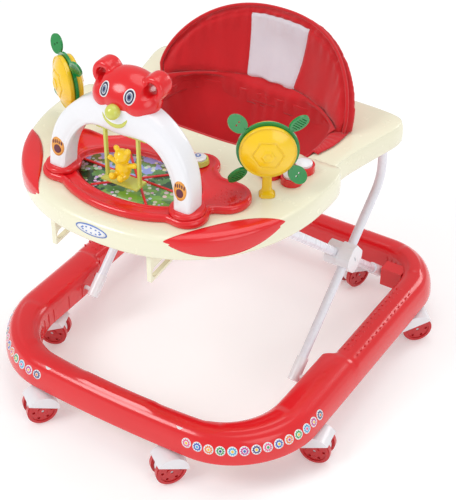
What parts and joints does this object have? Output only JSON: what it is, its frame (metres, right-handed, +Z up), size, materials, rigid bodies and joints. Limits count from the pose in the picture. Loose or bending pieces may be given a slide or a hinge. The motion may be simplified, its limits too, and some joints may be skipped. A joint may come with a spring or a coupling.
{
  "type": "baby walker",
  "caption": "Baby walker: ring base on twin-wheel castors, folding tube X-frame, toy tray with a padded seat, bear arch, swing, spinning flowers and push buttons.",
  "frame": {"origin": "on the floor under the middle of the walker's box", "axes": "+Z up, the walker's front faces -Y, +X to the right of a viewer who looks along +Y"},
  "size_m": [0.6664, 0.7346, 0.6873],
  "materials": {
    "red_plastic": "glossy moulded",
    "wheel_plastic": "glossy moulded",
    "ivory_plastic": "glossy moulded",
    "white_plastic": "glossy moulded",
    "lime_plastic": "glossy moulded",
    "yellow_plastic": "glossy moulded",
    "green_plastic": "glossy moulded",
    "picture_card": "printed card under varnish",
    "white_tube": "gloss powder coat on bent steel tube",
    "steel": "zinc-plated",
    "red_fabric": "padded woven polyester"
  },
  "bodies": {
    "base": {"base_shell": "red_plastic", "castor_sockets": "white_plastic", "rear_pivot_bosses": "red_plastic", "rear_pivot_pins": "steel"},
    "castor_1": {"castor_hood_1": "white_plastic", "castor_pins_1": "steel"},
    "wheels_1": {"castor_wheels_1": "wheel_plastic"},
    "castor_2": {"castor_hood_2": "white_plastic", "castor_pins_2": "steel"},
    "wheels_2": {"castor_wheels_2": "wheel_plastic"},
    "castor_3": {"castor_hood_3": "white_plastic", "castor_pins_3": "steel"},
    "wheels_3": {"castor_wheels_3": "wheel_plastic"},
    "castor_4": {"castor_hood_4": "white_plastic", "castor_pins_4": "steel"},
    "wheels_4": {"castor_wheels_4": "wheel_plastic"},
    "castor_5": {"castor_hood_5": "white_plastic", "castor_pins_5": "steel"},
    "wheels_5": {"castor_wheels_5": "wheel_plastic"},
    "castor_6": {"castor_hood_6": "white_plastic", "castor_pins_6": "steel"},
    "wheels_6": {"castor_wheels_6": "wheel_plastic"},
    "castor_7": {"castor_hood_7": "white_plastic", "castor_pins_7": "steel"},
    "wheels_7": {"castor_wheels_7": "wheel_plastic"},
    "castor_8": {"castor_hood_8": "white_plastic", "castor_pins_8": "steel"},
    "wheels_8": {"castor_wheels_8": "wheel_plastic"},
    "inner_legs": {"inner_tube": "white_tube", "inner_tube_ends": "white_plastic", "inner_hub_blocks": "white_plastic", "hub_pins": "steel"},
    "outer_legs": {"outer_tube": "white_tube", "outer_tube_ends": "white_plastic", "outer_hub_blocks": "white_plastic"},
    "tray": {"tray_shell": "ivory_plastic", "tray_accents": "red_plastic", "tray_racks": "ivory_plastic", "play_panel": "red_plastic", "picture_disc": "picture_card", "arch": "white_plastic", "bear_head": "red_plastic", "bear_nose_and_mouth": "lime_plastic", "button_base": "red_plastic", "music_button_ring": "lime_plastic", "seat_back_pad": "red_fabric", "seat_pouch": "red_fabric"},
    "swing": {"swing_frame": "lime_plastic", "swing_bear": "yellow_plastic"},
    "flower_left": {"flower_body_left": "yellow_plastic"},
    "leaves_left": {"flower_leaves_left": "green_plastic"},
    "flower_right": {"flower_body_right": "yellow_plastic"},
    "leaves_right": {"flower_leaves_right": "green_plastic"},
    "button_1": {"push_button_1": "white_plastic"},
    "button_2": {"push_button_2": "white_plastic"},
    "button_3": {"push_button_3": "white_plastic"},
    "button_4": {"push_button_4": "white_plastic"},
    "music": {"music_button": "white_plastic"}
  },
  "joints": [
    {"name": "castor_swivel_1", "type": "hinge", "parent": "base", "child": "castor_1", "pos_m": [-0.134, -0.315, 0.06], "axis": [0, 0, 1], "continuous": true},
    {"name": "wheel_roll_1", "type": "hinge", "parent": "castor_1", "child": "wheels_1", "pos_m": [-0.14834, -0.33548, 0.027], "axis": [0.8192, -0.5736, 0], "continuous": true},
    {"name": "castor_swivel_2", "type": "hinge", "parent": "base", "child": "castor_2", "pos_m": [0.134, -0.315, 0.06], "axis": [0, 0, 1], "continuous": true},
    {"name": "wheel_roll_2", "type": "hinge", "parent": "castor_2", "child": "wheels_2", "pos_m": [0.11966, -0.33548, 0.027], "axis": [0.8192, -0.5736, 0], "continuous": true},
    {"name": "castor_swivel_3", "type": "hinge", "parent": "base", "child": "castor_3", "pos_m": [0.279, -0.165, 0.06], "axis": [0, 0, 1], "continuous": true},
    {"name": "wheel_roll_3", "type": "hinge", "parent": "castor_3", "child": "wheels_3", "pos_m": [0.30362, -0.16066, 0.027], "axis": [-0.1736, 0.9848, 0], "continuous": true},
    {"name": "castor_swivel_4", "type": "hinge", "parent": "base", "child": "castor_4", "pos_m": [0.28, 0.193, 0.06], "axis": [0, 0, 1], "continuous": true},
    {"name": "wheel_roll_4", "type": "hinge", "parent": "castor_4", "child": "wheels_4", "pos_m": [0.29828, 0.21005, 0.027], "axis": [-0.682, 0.7314, 0], "continuous": true},
    {"name": "castor_swivel_5", "type": "hinge", "parent": "base", "child": "castor_5", "pos_m": [0.134, 0.3127, 0.06], "axis": [0, 0, 1], "continuous": true},
    {"name": "wheel_roll_5", "type": "hinge", "parent": "castor_5", "child": "wheels_5", "pos_m": [0.12627, 0.28892, 0.027], "axis": [0.9511, -0.309, 0], "continuous": true},
    {"name": "castor_swivel_6", "type": "hinge", "parent": "base", "child": "castor_6", "pos_m": [-0.134, 0.3127, 0.06], "axis": [0, 0, 1], "continuous": true},
    {"name": "wheel_roll_6", "type": "hinge", "parent": "castor_6", "child": "wheels_6", "pos_m": [-0.12753, 0.33685, 0.027], "axis": [-0.9659, 0.2588, 0], "continuous": true},
    {"name": "castor_swivel_7", "type": "hinge", "parent": "base", "child": "castor_7", "pos_m": [-0.279, 0.193, 0.06], "axis": [0, 0, 1], "continuous": true},
    {"name": "wheel_roll_7", "type": "hinge", "parent": "castor_7", "child": "wheels_7", "pos_m": [-0.30362, 0.19734, 0.027], "axis": [-0.1736, -0.9848, 0], "continuous": true},
    {"name": "castor_swivel_8", "type": "hinge", "parent": "base", "child": "castor_8", "pos_m": [-0.279, -0.165, 0.06], "axis": [0, 0, 1], "continuous": true},
    {"name": "wheel_roll_8", "type": "hinge", "parent": "castor_8", "child": "wheels_8", "pos_m": [-0.25551, -0.15645, 0.027], "axis": [-0.342, 0.9397, 0], "continuous": true},
    {"name": "leg_fold", "type": "hinge", "parent": "base", "child": "inner_legs", "pos_m": [0, 0.25, 0.082], "axis": [1, 0, 0], "range_deg": [0, 34]},
    {"name": "hub_cross", "type": "hinge", "parent": "inner_legs", "child": "outer_legs", "pos_m": [0, 0.083, 0.228], "axis": [1, 0, 0], "range_deg": [-68.5, 0.5]},
    {"name": "tray_tilt", "type": "hinge", "parent": "outer_legs", "child": "tray", "pos_m": [0, 0.196, 0.427], "axis": [1, 0, 0], "range_deg": [-0.5, 39.26]},
    {"name": "swing_hang", "type": "hinge", "parent": "tray", "child": "swing", "pos_m": [0, -0.258, 0.5883], "axis": [1, 0, 0], "range_deg": [-40, 40]},
    {"name": "flower_turn_left", "type": "hinge", "parent": "tray", "child": "flower_left", "pos_m": [-0.187, -0.147, 0.48], "axis": [0, 0, 1], "range_deg": [-30, 30]},
    {"name": "leaf_spin_left", "type": "hinge", "parent": "flower_left", "child": "leaves_left", "pos_m": [-0.187, -0.147, 0.564], "axis": [-0.5446, -0.8387, 0], "continuous": true},
    {"name": "flower_turn_right", "type": "hinge", "parent": "tray", "child": "flower_right", "pos_m": [0.187, -0.147, 0.48], "axis": [0, 0, 1], "range_deg": [-30, 30]},
    {"name": "leaf_spin_right", "type": "hinge", "parent": "flower_right", "child": "leaves_right", "pos_m": [0.187, -0.147, 0.564], "axis": [0.5446, -0.8387, 0], "continuous": true},
    {"name": "press_1", "type": "slide", "parent": "tray", "child": "button_1", "axis": [0, 0, -1], "range_m": [0, 0.003], "stiffness_N_per_m": 400, "springref_m": -0.0005},
    {"name": "press_2", "type": "slide", "parent": "tray", "child": "button_2", "axis": [0, 0, -1], "range_m": [0, 0.003], "stiffness_N_per_m": 400, "springref_m": -0.0005},
    {"name": "press_3", "type": "slide", "parent": "tray", "child": "button_3", "axis": [0, 0, -1], "range_m": [0, 0.003], "stiffness_N_per_m": 400, "springref_m": -0.0005},
    {"name": "press_4", "type": "slide", "parent": "tray", "child": "button_4", "axis": [0, 0, -1], "range_m": [0, 0.003], "stiffness_N_per_m": 400, "springref_m": -0.0005},
    {"name": "press_music", "type": "slide", "parent": "tray", "child": "music", "axis": [0, 0, -1], "range_m": [0, 0.0025], "stiffness_N_per_m": 400, "springref_m": -0.0005}
  ],
  "couplings": [
    {"joint": "hub_cross", "follows": "leg_fold", "ratio": -2},
    {"joint": "tray_tilt", "follows": "leg_fold", "ratio": 1.14}
  ]
}
